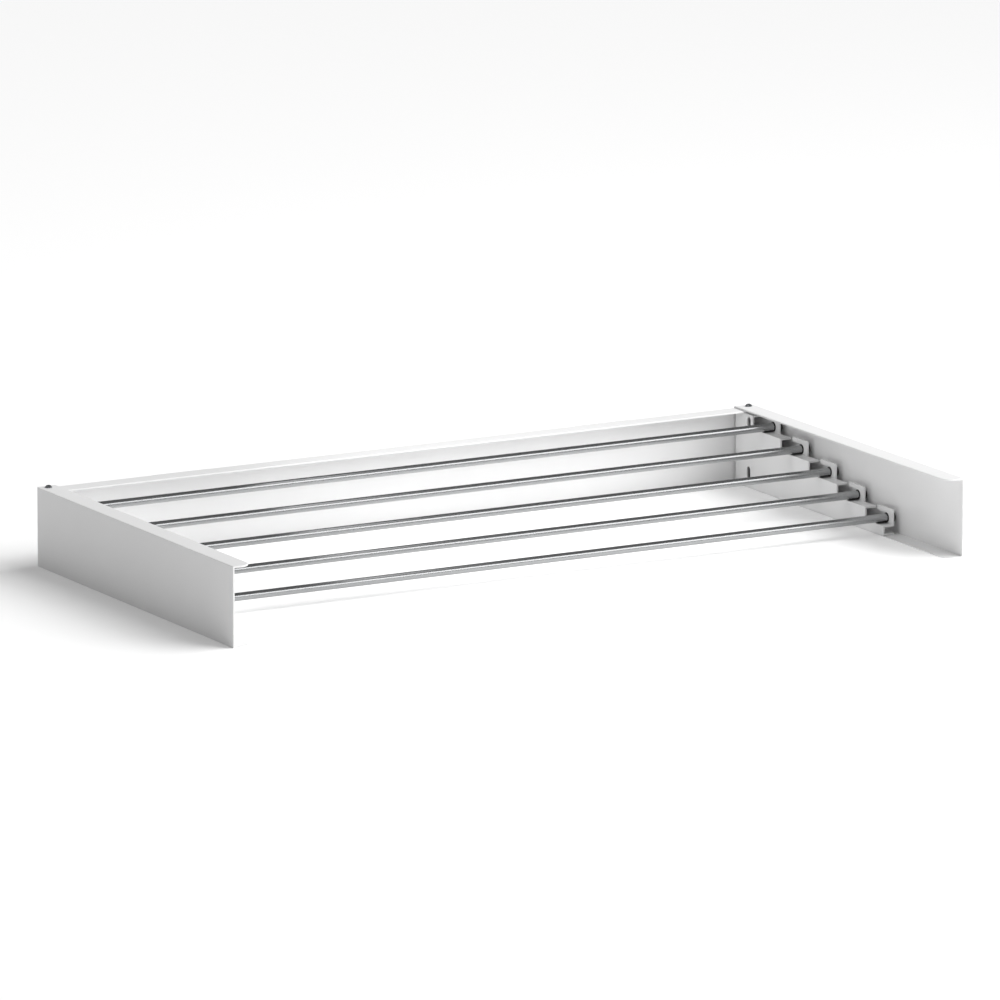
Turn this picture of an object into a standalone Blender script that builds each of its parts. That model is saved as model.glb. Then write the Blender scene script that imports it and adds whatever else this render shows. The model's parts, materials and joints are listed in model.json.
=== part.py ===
"""Wall mounted fold down drying rack, modelled as an assembly of separate pieces.

Units are metres, +Z is up.  The origin is the centre of the wall plate's rear face.
+X runs along the rods, +Y points into the wall, -Y points out into the room.
"Reach" below means the distance forward (towards -Y) from the back of the folding frame.
"""
import itertools
import math

import bmesh
import bpy
from mathutils import Vector

# ---------------------------------------------------------------- driving dimensions
RACK_WIDTH = 1.016            # outside of one arm to the outside of the other
ARM_LENGTH = 0.508            # back of the frame to the front end of an arm
RACK_HEIGHT = 0.100           # height of the folded channels
SHEET = 0.002                 # sheet steel of rail, arms and stair brackets
FLANGE_WIDTH = 0.026          # flanges of the arms and of the rail
EDGE_BEVEL = 0.0007           # softened outer edges of the folded sheet
CORNER_RADIUS = 0.003         # bend between an arm's web and its rear return
TIP_RADIUS = 0.015            # rounded front corner of an arm's flanges
TOUCH = 0.0003                # gap kept between pieces that rest on each other
RUNNING = 0.00015             # radial clearance of the hinge pins

STEP_COUNT = 5                # one step, and one rod, each
FIRST_RISER = 0.0464          # reach of the first riser
STEP_DEPTH = 0.0683           # reach from riser to riser
FIRST_DROP = 0.0214           # first tread below the top of the rack
LAST_TREAD_RISE = 0.0144      # last tread above the bottom of the rack
LAST_TREAD = 0.0425           # length of the last tread
TREAD_WIDTH = 0.0158          # stair bracket, web to hook face
BRACKET_GAP = 0.0028          # rail's web to the stair bracket
EAR_GAP = 0.002               # stair bracket's wider rear lugs to the inside of the arm's web
EAR_LENGTH = 0.020
HOOK_START = 0.006            # hook's rear end in front of its riser
HOOK_LENGTH = 0.0365
HOOK_HEIGHT = 0.0190
HOOK_POST = 0.009
EAR_SLOT_REACH = 0.0369
EAR_SLOT_WIDTH = 0.0088
EAR_SLOT_LENGTH = 0.0160
EAR_SLOT_MARGIN = 0.0029      # sheet left above the upper slot
HOOK_SILL = 0.0003            # tab left under a hook's slot
LOW_SLOT_RISE = 0.0081        # lower slot's end above the bracket's bottom edge

ROD_RADIUS = 0.005
ROD_WALL = 0.001
ROD_END_GAP = 0.0031          # rod's tube end to the inside of the arm's web
PLUG_CAP = 0.002
PLUG_OVERHANG = 0.0024        # plug's disc past the rod, all round
PLUG_STEM = 0.010
PLUG_CLEARANCE = 0.00025      # stem inside the tube, all round
CLIP_CLEARANCE = 0.00025      # clip round the rod
CLIP_WALL = 0.0009
CLIP_OPENING = 110.0          # degrees left open at the back of a clip
CLIP_PAD_WIDTH = 0.0062
CLIP_LIP = 0.0005             # clip stands past the hook's two faces

FASTENER_INSET = 0.011        # corner screws from the outside and from the back
SCREW_RADIUS = 0.0025
SCREW_HEAD_RADIUS = 0.005
SCREW_HEAD_HEIGHT = 0.0028
SCREW_TAIL = 0.0012           # thread past the nut
SOCKET_RADIUS = 0.0015
SOCKET_DEPTH = 0.0014
NUT_FLATS = 0.008
NUT_HEIGHT = 0.004
RIVET_RADIUS = 0.0022
RIVET_HEAD_RADIUS = 0.0045
RIVET_HEAD_HEIGHT = 0.0016
RIVET_COUNT = 2               # along each stair bracket's foot

PLATE_LENGTH = 0.940
PLATE_HEIGHT = 0.076
PLATE_THICKNESS = 0.003
PLATE_CORNER = 0.006
WALL_HOLE_RADIUS = 0.00325
WALL_HOLE_PITCH = 0.4064      # sideways, one fixing on each stud
WALL_HOLE_COLUMNS = 3
WALL_HOLE_ROWS = 0.048        # upper row to lower row

HINGE_SPREAD = 0.600          # left hinge to right hinge
HINGE_SETBACK = 0.0145        # hinge axis from the wall
HINGE_DROP = 0.0105           # hinge axis below the top of the rack
KNUCKLE_RADIUS = 0.0055
HINGE_PIN_RADIUS = 0.003
OUTER_KNUCKLE = 0.022
INNER_KNUCKLE = 0.032
WASHER_THICKNESS = 0.0014
WASHER_RADIUS = 0.0052
PIN_HEAD_RADIUS = 0.0048
PIN_HEAD_HEIGHT = 0.0022
LEAF = 0.002
WALL_LEAF_DEPTH = 0.034       # wall leaf below the axis
FRAME_LEAF_DEPTH = 0.030      # frame leaf below the axis
LEAF_TOP = 0.004              # wall leaf above the axis

BUMPER_RADIUS = 0.009
BUMPER_SPREAD = 0.884         # left bumper to right bumper
BUMPER_DROP = 0.028           # bumpers below the middle of the wall plate
BUMPER_HOLE_RADIUS = 0.0024
BUMPER_RECESS_RADIUS = 0.0050
BUMPER_RECESS_DEPTH = 0.0050
BUMPER_SCREW_RADIUS = 0.0020
BUMPER_SCREW_HEAD = 0.0040
BUMPER_SCREW_HEAD_HEIGHT = 0.0022

ROUND = 24                    # sides of the rods and knuckles
FINE = 16                     # sides of the small hardware

# ---------------------------------------------------------------- derived places
TOP = RACK_HEIGHT / 2
BOTTOM = -TOP
HALF_WIDTH = RACK_WIDTH / 2
FRAME_BACK = HINGE_SETBACK + KNUCKLE_RADIUS + TOUCH
AXIS = Vector((0.0, -HINGE_SETBACK, TOP - HINGE_DROP))
NEST = SHEET + TOUCH                              # one layer of sheet and its gap
RAIL_HALF = RACK_HEIGHT / 2 - NEST                # rail nests inside the arms
RAIL_WEB_END = HALF_WIDTH - FLANGE_WIDTH - TOUCH
RAIL_TAB_END = HALF_WIDTH - NEST
BRACKET_HALF = RAIL_HALF - NEST                   # bracket nests inside the rail
BRACKET_START = SHEET + BRACKET_GAP
FOOT_START = FLANGE_WIDTH + TOUCH                 # past here the foot lies on the arm itself
STEP_DROP = (RACK_HEIGHT - FIRST_DROP - LAST_TREAD_RISE) / (STEP_COUNT - 1)
BRACKET_FACE = HALF_WIDTH - FLANGE_WIDTH          # web's inner face, flush with the arm
HOOK_FACE = BRACKET_FACE + TREAD_WIDTH            # outer face of the hook tabs
CLIP_INNER = ROD_RADIUS + CLIP_CLEARANCE
CLIP_OUTER = CLIP_INNER + CLIP_WALL
SLOT_HALF = CLIP_OUTER + TOUCH
HOOK_SLOT = 2 * SLOT_HALF
ROD_HALF = HALF_WIDTH - SHEET - ROD_END_GAP
FASTENER_X = HALF_WIDTH - FASTENER_INSET
FASTENER_Y = -FRAME_BACK - FASTENER_INSET
FRAME_LEAF_BACK = -(HINGE_SETBACK + KNUCKLE_RADIUS - LEAF)
WALL_LEAF_BACK = -PLATE_THICKNESS - TOUCH


def riser(step):
    """Reach of a step's riser; steps count from 0 at the back."""
    return FIRST_RISER + step * STEP_DEPTH


def tread_top(step):
    return TOP - FIRST_DROP - step * STEP_DROP


def tread_end(step):
    if step == STEP_COUNT - 1:
        return riser(step) + LAST_TREAD
    return riser(step + 1)


def rod_reach(step):
    return riser(step) + HOOK_START + HOOK_LENGTH - HOOK_POST - SLOT_HALF


def rod_height(step):
    return tread_top(step) + HOOK_SILL + SLOT_HALF


def rod_centre(step):
    return Vector((0.0, -FRAME_BACK - rod_reach(step), rod_height(step)))


# ---------------------------------------------------------------- materials
def material(name, colour, roughness, metallic):
    made = bpy.data.materials.new(name)
    made.use_nodes = True
    shader = made.node_tree.nodes["Principled BSDF"]
    shader.inputs["Base Color"].default_value = (*colour, 1.0)
    shader.inputs["Roughness"].default_value = roughness
    shader.inputs["Metallic"].default_value = metallic
    made.diffuse_color = (*colour, 1.0)
    return made


# ---------------------------------------------------------------- shape helpers
def finish_mesh(name, bm, smooth=False):
    bmesh.ops.recalc_face_normals(bm, faces=bm.faces)
    mesh = bpy.data.meshes.new(name)
    bm.to_mesh(mesh)
    bm.free()
    if smooth:
        mesh.shade_smooth()
        mesh.set_sharp_from_angle(angle=math.radians(35))
    return mesh


def add_object(name, mesh, surface, parent, location=(0.0, 0.0, 0.0)):
    """Place a mesh by its location in the world and hang it on a parent empty."""
    if not mesh.materials:
        mesh.materials.append(surface)
    piece = bpy.data.objects.new(name, mesh)
    bpy.context.collection.objects.link(piece)
    piece.parent = parent
    piece.location = Vector(location) - parent.location
    return piece


def prism(outline, axis, low, high):
    """Extrude a closed outline along an axis.

    The outline holds (y, z) for X, (x, z) for Y and (x, y) for Z.
    """
    place = {
        "X": lambda a, b: (low, a, b),
        "Y": lambda a, b: (a, low, b),
        "Z": lambda a, b: (a, b, low),
    }[axis]
    step = Vector({"X": (1, 0, 0), "Y": (0, 1, 0), "Z": (0, 0, 1)}[axis]) * (high - low)
    bm = bmesh.new()
    face = bm.faces.new([bm.verts.new(place(a, b)) for a, b in outline])
    grown = bmesh.ops.extrude_face_region(bm, geom=[face])
    moved = [v for v in grown["geom"] if isinstance(v, bmesh.types.BMVert)]
    bmesh.ops.translate(bm, verts=moved, vec=step)
    bmesh.ops.recalc_face_normals(bm, faces=bm.faces)
    return bm


def box(x, y, z):
    """Block from three (low, high) pairs."""
    outline = [(x[0], y[0]), (x[1], y[0]), (x[1], y[1]), (x[0], y[1])]
    return prism(outline, "Z", min(z), max(z))


def joined_blocks(blocks):
    """One closed surface round blocks of three (low, high) pairs that share faces or overlap."""
    def level(value):
        return round(value, 7)

    levels = [sorted({level(v) for block in blocks for v in block[axis]}) for axis in range(3)]
    filled = set()
    for block in blocks:
        spans = []
        for axis in range(3):
            low, high = sorted(level(v) for v in block[axis])
            spans.append(range(levels[axis].index(low), levels[axis].index(high)))
        filled.update(itertools.product(*spans))
    bm = bmesh.new()
    corners = {}

    def corner(index):
        if index not in corners:
            corners[index] = bm.verts.new([levels[axis][index[axis]] for axis in range(3)])
        return corners[index]

    for cell, axis, end in itertools.product(sorted(filled), range(3), (0, 1)):
        beside = list(cell)
        beside[axis] += 2 * end - 1
        if tuple(beside) in filled:
            continue
        ring = []
        for one, two in ((0, 0), (1, 0), (1, 1), (0, 1)):
            index = list(cell)
            index[axis] += end
            index[(axis + 1) % 3] += one
            index[(axis + 2) % 3] += two
            ring.append(corner(tuple(index)))
        bm.faces.new(ring if end else ring[::-1])
    bmesh.ops.dissolve_limit(bm, angle_limit=math.radians(1), verts=bm.verts, edges=bm.edges)
    bmesh.ops.recalc_face_normals(bm, faces=bm.faces)
    return bm


def arc(centre, radius, start, end, parts):
    """Points on an arc, angles in degrees."""
    points = []
    for index in range(parts + 1):
        angle = math.radians(start + (end - start) * index / parts)
        points.append((centre[0] + radius * math.cos(angle), centre[1] + radius * math.sin(angle)))
    return points


def turned(profile, axis, sides, closed=False):
    """Turn a profile of (radius, height) round an axis through the local origin.

    An open profile starts and ends on the axis; a closed one is a ring.
    """
    turn = {
        "X": lambda r, h, a: (h, r * math.cos(a), r * math.sin(a)),
        "Y": lambda r, h, a: (r * math.cos(a), h, r * math.sin(a)),
        "Z": lambda r, h, a: (r * math.cos(a), r * math.sin(a), h),
    }[axis]
    bm = bmesh.new()
    loops = []
    for radius, height in profile:
        if radius == 0.0:
            loops.append([bm.verts.new(turn(0.0, height, 0.0))])
            continue
        loops.append([
            bm.verts.new(turn(radius, height, math.tau * (side + 0.5) / sides))
            for side in range(sides)
        ])
    pairs = list(zip(loops, loops[1:]))
    if closed:
        pairs.append((loops[-1], loops[0]))
    for one, two in pairs:
        for side in range(sides):
            after = (side + 1) % sides
            corners = [one[side % len(one)], one[after % len(one)],
                       two[after % len(two)], two[side % len(two)]]
            bm.faces.new(list(dict.fromkeys(corners)))
    bmesh.ops.recalc_face_normals(bm, faces=bm.faces)
    return bm


def tube_ring(inner, outer, low, high, axis, sides):
    return turned([(inner, low), (outer, low), (outer, high), (inner, high)], axis, sides, True)


def rod_bar(radius, low, high, axis, sides):
    return turned([(0.0, low), (radius, low), (radius, high), (0.0, high)], axis, sides)


def moved(bm, offset):
    bmesh.ops.translate(bm, verts=bm.verts, vec=Vector(offset))
    return bm


def combine(base, tools, operation):
    """Run exact Booleans on bmeshes and return the result as a bmesh."""
    def stage(bm, name):
        mesh = bpy.data.meshes.new(name)
        bm.to_mesh(mesh)
        bm.free()
        piece = bpy.data.objects.new(name, mesh)
        bpy.context.collection.objects.link(piece)
        return piece

    target = stage(base, "boolean_base")
    used = [stage(tool, "boolean_tool") for tool in tools]
    for tool in used:
        modifier = target.modifiers.new("combine", "BOOLEAN")
        modifier.operation = operation
        modifier.solver = "EXACT"
        modifier.object = tool
        tool.hide_render = True
        tool.display_type = "WIRE"
    graph = bpy.context.evaluated_depsgraph_get()
    result = bmesh.new()
    result.from_mesh(target.evaluated_get(graph).to_mesh())
    for piece in [target, *used]:
        mesh = piece.data
        bpy.data.objects.remove(piece)
        bpy.data.meshes.remove(mesh)
    return result


def soften_rims(bm, axis_index, width):
    """Bevel the rims of a prism's two end faces."""
    rims = []
    for face in bm.faces:
        if abs(face.normal[axis_index]) > 0.99:
            rims.extend(face.edges)
    bmesh.ops.bevel(bm, geom=list(set(rims)), offset=width, segments=2, profile=0.5,
                    affect="EDGES", clamp_overlap=True)
    return bm


# ---------------------------------------------------------------- folding frame
def arm(side):
    """C channel, open inwards, with rounded front corners and a rear return."""
    outer = side * HALF_WIDTH
    inner = side * BRACKET_FACE
    back = -FRAME_BACK
    front = back - ARM_LENGTH
    shell = [(inner, back)]
    bend = arc((HALF_WIDTH - CORNER_RADIUS, back - CORNER_RADIUS), CORNER_RADIUS, 90, 0, 4)
    shell += [(side * x, y) for x, y in bend]
    shell.append((outer, front))
    tip = arc((BRACKET_FACE + TIP_RADIUS, front + TIP_RADIUS), TIP_RADIUS, 270, 180, 6)
    shell += [(side * x, y) for x, y in tip]
    body = soften_rims(prism(shell, "Z", BOTTOM, TOP), 2, EDGE_BEVEL)

    inner_bend = CORNER_RADIUS - SHEET
    hollow = [(inner - side * FLANGE_WIDTH, back - SHEET)]
    bend = arc((HALF_WIDTH - CORNER_RADIUS, back - CORNER_RADIUS), inner_bend, 90, 0, 3)
    hollow += [(side * x, y) for x, y in bend]
    hollow += [(outer - side * SHEET, front - FLANGE_WIDTH),
               (inner - side * FLANGE_WIDTH, front - FLANGE_WIDTH)]
    cuts = [prism(hollow, "Z", BOTTOM + SHEET, TOP - SHEET)]
    place = (side * FASTENER_X, FASTENER_Y, 0.0)
    screw_hole = rod_bar(SCREW_RADIUS + TOUCH, 0.0, TOP + SHEET, "Z", FINE)
    cuts.append(moved(screw_hole, place))
    for point in [place, *foot_rivets(side)]:
        rivet_hole = rod_bar(RIVET_RADIUS + TOUCH, BOTTOM - SHEET, 0.0, "Z", FINE)
        cuts.append(moved(rivet_hole, (point[0], point[1], 0.0)))
    return combine(body, cuts, "DIFFERENCE")


def rear_rail():
    """C channel, open to the front, whose flange tabs reach under the arms' flanges."""
    back = -FRAME_BACK
    clear = back - NEST
    chamfer = CORNER_RADIUS - SHEET + 2 * TOUCH
    right = [(RAIL_WEB_END, back), (RAIL_WEB_END, clear), (RAIL_TAB_END - chamfer, clear),
             (RAIL_TAB_END, clear - chamfer), (RAIL_TAB_END, back - FLANGE_WIDTH)]
    outline = right + [(-x, y) for x, y in reversed(right)]
    body = soften_rims(prism(outline, "Z", -RAIL_HALF, RAIL_HALF), 2, EDGE_BEVEL)
    reach = (back - SHEET, back - 2 * FLANGE_WIDTH)
    inside = RAIL_HALF - SHEET
    cuts = [box((-RACK_WIDTH, RACK_WIDTH), reach, (-inside, inside))]
    for side in (-1, 1):
        place = (side * FASTENER_X, FASTENER_Y, 0.0)
        cuts.append(moved(rod_bar(SCREW_RADIUS + TOUCH, 0.0, TOP, "Z", FINE), place))
        cuts.append(moved(rod_bar(RIVET_RADIUS + TOUCH, BOTTOM, 0.0, "Z", FINE), place))
    return combine(body, cuts, "DIFFERENCE")


def foot_rivets(side):
    """Places of the rivets that hold a stair bracket's foot to its arm."""
    x = side * (BRACKET_FACE + SHEET + (TREAD_WIDTH - SHEET) / 2)
    start = FOOT_START
    run = tread_end(STEP_COUNT - 1) - start
    places = []
    for index in range(RIVET_COUNT):
        reach = start + run * (index + 0.5) / RIVET_COUNT
        places.append((x, -FRAME_BACK - reach))
    return places


def hook_slot(step):
    """Side view of a hook's slot: open to the back, round at the front."""
    centre = rod_centre(step)
    mouth = -FRAME_BACK - riser(step) - HOOK_START / 2
    return [(mouth, centre.z - SLOT_HALF), *arc((centre.y, centre.z), SLOT_HALF, 270, 90, 12),
            (mouth, centre.z + SLOT_HALF)]


def stair_bracket(side):
    """Folded staircase: one web, open risers, and a tread with a hook for each rod."""
    def across(low, high):
        return tuple(sorted((side * low, side * high)))

    def along(low, high):
        return (-FRAME_BACK - high, -FRAME_BACK - low)

    low = -BRACKET_HALF
    high = BRACKET_HALF
    sole = low - NEST
    foot = tread_end(STEP_COUNT - 1)
    web = across(BRACKET_FACE, BRACKET_FACE + SHEET)
    tread = across(BRACKET_FACE, HOOK_FACE)
    tab = across(HOOK_FACE - SHEET, HOOK_FACE)
    lug = across(BRACKET_FACE, HALF_WIDTH - SHEET - EAR_GAP)
    blocks = [
        (web, along(BRACKET_START, riser(0)), (low, high)),
        (tread, along(BRACKET_START, riser(0)), (high - SHEET, high)),
        (lug, along(BRACKET_START, BRACKET_START + EAR_LENGTH), (high - SHEET, high)),
        (tread, along(BRACKET_START, FOOT_START), (low, low + SHEET)),
        (tread, along(FOOT_START, foot), (sole, sole + SHEET)),
        (web, along(FOOT_START, foot), (sole, sole + 2 * SHEET)),
        (lug, along(BRACKET_START, BRACKET_START + EAR_LENGTH), (low, low + SHEET)),
    ]
    for step in range(STEP_COUNT):
        level = tread_top(step)
        run = along(riser(step), tread_end(step))
        hook_rear = riser(step) + HOOK_START
        blocks.append((web, run, (low, level)))
        blocks.append((tread, run, (level - SHEET, level)))
        hook_run = along(hook_rear, hook_rear + HOOK_LENGTH)
        blocks.append((tab, hook_run, (level - SHEET, level + HOOK_HEIGHT)))
    joined = joined_blocks(blocks)

    cuts = []
    for step in range(STEP_COUNT):
        cutter = across(HOOK_FACE - 2 * SHEET, HOOK_FACE + SHEET)
        cuts.append(prism(hook_slot(step), "X", *cutter))
    half = EAR_SLOT_LENGTH / 2
    for middle in (high - EAR_SLOT_MARGIN - half, low + LOW_SLOT_RISE + half):
        reach = -FRAME_BACK - EAR_SLOT_REACH
        radius = EAR_SLOT_WIDTH / 2
        rise = half - radius
        outline = arc((reach, middle + rise), radius, 0, 180, 8)
        outline += arc((reach, middle - rise), radius, 180, 360, 8)
        cuts.append(prism(outline, "X", *across(BRACKET_FACE - SHEET, BRACKET_FACE + 2 * SHEET)))
    place = (side * FASTENER_X, FASTENER_Y, 0.0)
    cuts.append(moved(rod_bar(SCREW_RADIUS + TOUCH, 0.0, TOP, "Z", FINE), place))
    for point in [place, *foot_rivets(side)]:
        hole = rod_bar(RIVET_RADIUS + TOUCH, BOTTOM, low + 2 * SHEET, "Z", FINE)
        cuts.append(moved(hole, (point[0], point[1], 0.0)))
    return combine(joined, cuts, "DIFFERENCE")


def rod_tube():
    bore = ROD_RADIUS - ROD_WALL
    return tube_ring(bore, ROD_RADIUS, -ROD_HALF, ROD_HALF, "X", ROUND)


def rod_plug(side):
    """End plug; the disc's inner face is on the local YZ plane, the stem is in the tube."""
    radius = ROD_RADIUS - ROD_WALL - PLUG_CLEARANCE
    disc = ROD_RADIUS + PLUG_OVERHANG
    rim = PLUG_CAP / 3
    profile = [(0.0, -side * PLUG_STEM), (radius, -side * PLUG_STEM), (radius, 0.0),
               (disc, 0.0), (disc, side * (PLUG_CAP - rim)),
               (disc - rim, side * PLUG_CAP), (0.0, side * PLUG_CAP)]
    return turned(profile, "X", FINE)


def rod_clip(side):
    """Clip in the hook's slot, open to the back, with a saddle that lies on the tread.

    The local origin is on the rod's axis, at the hook's outer face.
    """
    outer_end = CLIP_LIP
    ring_start = -SHEET - CLIP_LIP
    pad_start = -TREAD_WIDTH
    gap = CLIP_OPENING / 2
    ring = arc((0.0, 0.0), CLIP_OUTER, gap, 360 - gap, 14)
    ring += arc((0.0, 0.0), CLIP_INNER, 360 - gap, gap, 14)
    ring_low, ring_high = sorted((side * ring_start, side * outer_end))
    body = prism(ring, "X", ring_low, ring_high)
    half = CLIP_PAD_WIDTH / 2
    outside = math.degrees(math.asin(half / CLIP_OUTER))
    inside = math.degrees(math.asin(half / CLIP_INNER))
    saddle = [(half, -CLIP_OUTER), *arc((0.0, 0.0), CLIP_OUTER, 270, 270 - outside, 2)]
    saddle += arc((0.0, 0.0), CLIP_INNER, 270 - inside, 270 + inside, 4)
    pad_low, pad_high = sorted((side * pad_start, side * (outer_end - CLIP_LIP)))
    return combine(body, [prism(saddle, "X", pad_low, pad_high)], "UNION")


def button_screw():
    """Button head screw with a socket; the head rests on the local origin's plane."""
    length = 3 * SHEET + 4 * TOUCH + NUT_HEIGHT + SCREW_TAIL
    dome = []
    for index in range(5):
        angle = math.radians(90 * index / 5)
        dome.append((SCREW_HEAD_RADIUS * math.cos(angle) ** 0.7,
                     SCREW_HEAD_HEIGHT * (0.25 + 0.75 * math.sin(angle))))
    profile = [(0.0, -length), (SCREW_RADIUS, -length), (SCREW_RADIUS, 0.0),
               (SCREW_HEAD_RADIUS, 0.0), *dome, (SOCKET_RADIUS, SCREW_HEAD_HEIGHT),
               (SOCKET_RADIUS, SCREW_HEAD_HEIGHT - SOCKET_DEPTH),
               (0.0, SCREW_HEAD_HEIGHT - SOCKET_DEPTH)]
    return turned(profile, "Z", FINE)


def hex_nut(bore, flats, height, axis):
    """Nut whose lower face is on the local origin's plane."""
    corner = flats / 2 / math.cos(math.radians(30))
    outline = arc((0.0, 0.0), corner, 0, 300, 5)
    body = prism(outline, axis, 0.0, height)
    return combine(body, [rod_bar(bore, -height, 2 * height, axis, FINE)], "DIFFERENCE")


def rivet(grip):
    """Round head rivet; the head rests on the local origin's plane, the shank goes down."""
    top = RIVET_HEAD_HEIGHT
    profile = [(0.0, -grip), (RIVET_RADIUS, -grip), (RIVET_RADIUS, 0.0),
               (RIVET_HEAD_RADIUS, 0.0), (RIVET_HEAD_RADIUS, 0.35 * top),
               (0.8 * RIVET_HEAD_RADIUS, 0.8 * top), (0.4 * RIVET_HEAD_RADIUS, top), (0.0, top)]
    return turned(profile, "Z", FINE)


# ---------------------------------------------------------------- hinges and wall side
def hinge_centres():
    return (-HINGE_SPREAD / 2, HINGE_SPREAD / 2)


def hinge_half_length():
    return INNER_KNUCKLE / 2 + WASHER_THICKNESS + 2 * TOUCH + OUTER_KNUCKLE


def wall_leaf(x):
    """Fixed leaf: a plate on the wall plate with two outer knuckles."""
    half = hinge_half_length()
    plate_y = (WALL_LEAF_BACK - LEAF, WALL_LEAF_BACK)
    plate_z = (AXIS.z - WALL_LEAF_DEPTH, AXIS.z + LEAF_TOP)
    body = box((x - half, x + half), plate_y, plate_z)
    parts = []
    for side in (-1, 1):
        ends = sorted((x + side * half, x + side * (half - OUTER_KNUCKLE)))
        neck_y = (AXIS.y, WALL_LEAF_BACK - LEAF / 2)
        parts.append(box(ends, neck_y, (AXIS.z - LEAF, AXIS.z + LEAF)))
        knuckle = rod_bar(KNUCKLE_RADIUS, ends[0], ends[1], "X", ROUND)
        parts.append(moved(knuckle, (0.0, AXIS.y, AXIS.z)))
    bore = rod_bar(HINGE_PIN_RADIUS + RUNNING, x - half - LEAF, x + half + LEAF, "X", ROUND)
    bore = moved(bore, (0.0, AXIS.y, AXIS.z))
    return combine(combine(body, parts, "UNION"), [bore], "DIFFERENCE")


def frame_leaf(x):
    """Moving leaf: a plate on the back of the rail with one middle knuckle."""
    half = hinge_half_length()
    plate_y = (FRAME_LEAF_BACK - LEAF, FRAME_LEAF_BACK)
    body_top = AXIS.z - KNUCKLE_RADIUS - TOUCH
    body = box((x - half, x + half), plate_y, (AXIS.z - FRAME_LEAF_DEPTH, body_top))
    ends = (x - INNER_KNUCKLE / 2, x + INNER_KNUCKLE / 2)
    neck = box(ends, plate_y, (body_top - LEAF, AXIS.z))
    knuckle = moved(rod_bar(KNUCKLE_RADIUS, ends[0], ends[1], "X", ROUND), (0.0, AXIS.y, AXIS.z))
    bore = rod_bar(HINGE_PIN_RADIUS + RUNNING, ends[0] - LEAF, ends[1] + LEAF, "X", ROUND)
    joined = combine(body, [neck, knuckle], "UNION")
    return combine(joined, [moved(bore, (0.0, AXIS.y, AXIS.z))], "DIFFERENCE")


def hinge_pin():
    """Pin with a head at its left end; the local origin is the middle of the hinge."""
    half = hinge_half_length()
    head = half + TOUCH
    tail = half + 2 * TOUCH + NUT_HEIGHT + SCREW_TAIL
    profile = [(0.0, -head - PIN_HEAD_HEIGHT), (PIN_HEAD_RADIUS, -head - PIN_HEAD_HEIGHT),
               (PIN_HEAD_RADIUS, -head), (HINGE_PIN_RADIUS, -head), (HINGE_PIN_RADIUS, tail),
               (0.0, tail)]
    return turned(profile, "X", ROUND)


def friction_washer():
    """Washer whose inner face is on the local origin's plane."""
    bore = HINGE_PIN_RADIUS + RUNNING
    return tube_ring(bore, WASHER_RADIUS, 0.0, WASHER_THICKNESS, "X", FINE)


def wall_plate():
    """Flat plate with rounded corners and a grid of fixing holes."""
    half_length = PLATE_LENGTH / 2 - PLATE_CORNER
    half_height = PLATE_HEIGHT / 2 - PLATE_CORNER
    outline = arc((half_length, half_height), PLATE_CORNER, 0, 90, 4)
    outline += arc((-half_length, half_height), PLATE_CORNER, 90, 180, 4)
    outline += arc((-half_length, -half_height), PLATE_CORNER, 180, 270, 4)
    outline += arc((half_length, -half_height), PLATE_CORNER, 270, 360, 4)
    body = prism(outline, "Y", -PLATE_THICKNESS, 0.0)
    span = (-2 * PLATE_THICKNESS, PLATE_THICKNESS)
    cuts = []
    for column in range(WALL_HOLE_COLUMNS):
        x = (column - (WALL_HOLE_COLUMNS - 1) / 2) * WALL_HOLE_PITCH
        for z in (-WALL_HOLE_ROWS / 2, WALL_HOLE_ROWS / 2):
            cuts.append(moved(rod_bar(WALL_HOLE_RADIUS, *span, "Y", FINE), (x, 0.0, z)))
    for side in (-1, 1):
        place = (side * BUMPER_SPREAD / 2, 0.0, -BUMPER_DROP)
        cuts.append(moved(rod_bar(BUMPER_HOLE_RADIUS, *span, "Y", FINE), place))
    return combine(body, cuts, "DIFFERENCE")


def bumper():
    """Rubber buffer with a recess for its screw; its base is on the local XZ plane."""
    length = FRAME_BACK - PLATE_THICKNESS - 2 * TOUCH
    bevel = BUMPER_RADIUS / 8
    floor = -length + BUMPER_RECESS_DEPTH
    profile = [(BUMPER_HOLE_RADIUS, 0.0), (BUMPER_RADIUS, 0.0), (BUMPER_RADIUS, bevel - length),
               (BUMPER_RADIUS - bevel, -length), (BUMPER_RECESS_RADIUS, -length),
               (BUMPER_RECESS_RADIUS, floor), (BUMPER_HOLE_RADIUS, floor)]
    return turned(profile, "Y", FINE, True)


def bumper_screw():
    """Pan head screw inside a bumper; its head's seat is on the local XZ plane."""
    grip = FRAME_BACK - PLATE_THICKNESS - 2 * TOUCH - BUMPER_RECESS_DEPTH + TOUCH
    tail = grip + TOUCH + PLATE_THICKNESS / 2
    head = BUMPER_SCREW_HEAD_HEIGHT
    profile = [(0.0, tail), (BUMPER_SCREW_RADIUS, tail), (BUMPER_SCREW_RADIUS, 0.0),
               (BUMPER_SCREW_HEAD, 0.0), (BUMPER_SCREW_HEAD, -0.5 * head),
               (0.7 * BUMPER_SCREW_HEAD, -head), (0.0, -head)]
    return turned(profile, "Y", FINE)


# ---------------------------------------------------------------- assembly
def empty(name, location):
    guide = bpy.data.objects.new(name, None)
    bpy.context.collection.objects.link(guide)
    guide.location = location
    guide.empty_display_size = 0.05
    return guide


def build_frame(axis, surfaces):
    white = surfaces["powder_coat"]
    add_object("rear_rail", finish_mesh("rear_rail", rear_rail()), white, axis)
    for side, word in ((-1, "left"), (1, "right")):
        name = f"{word}_arm"
        add_object(name, finish_mesh(name, arm(side)), white, axis)
        name = f"{word}_stair_bracket"
        add_object(name, finish_mesh(name, stair_bracket(side)), white, axis)
    build_rods(axis, surfaces)
    build_frame_hardware(axis, surfaces)


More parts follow.
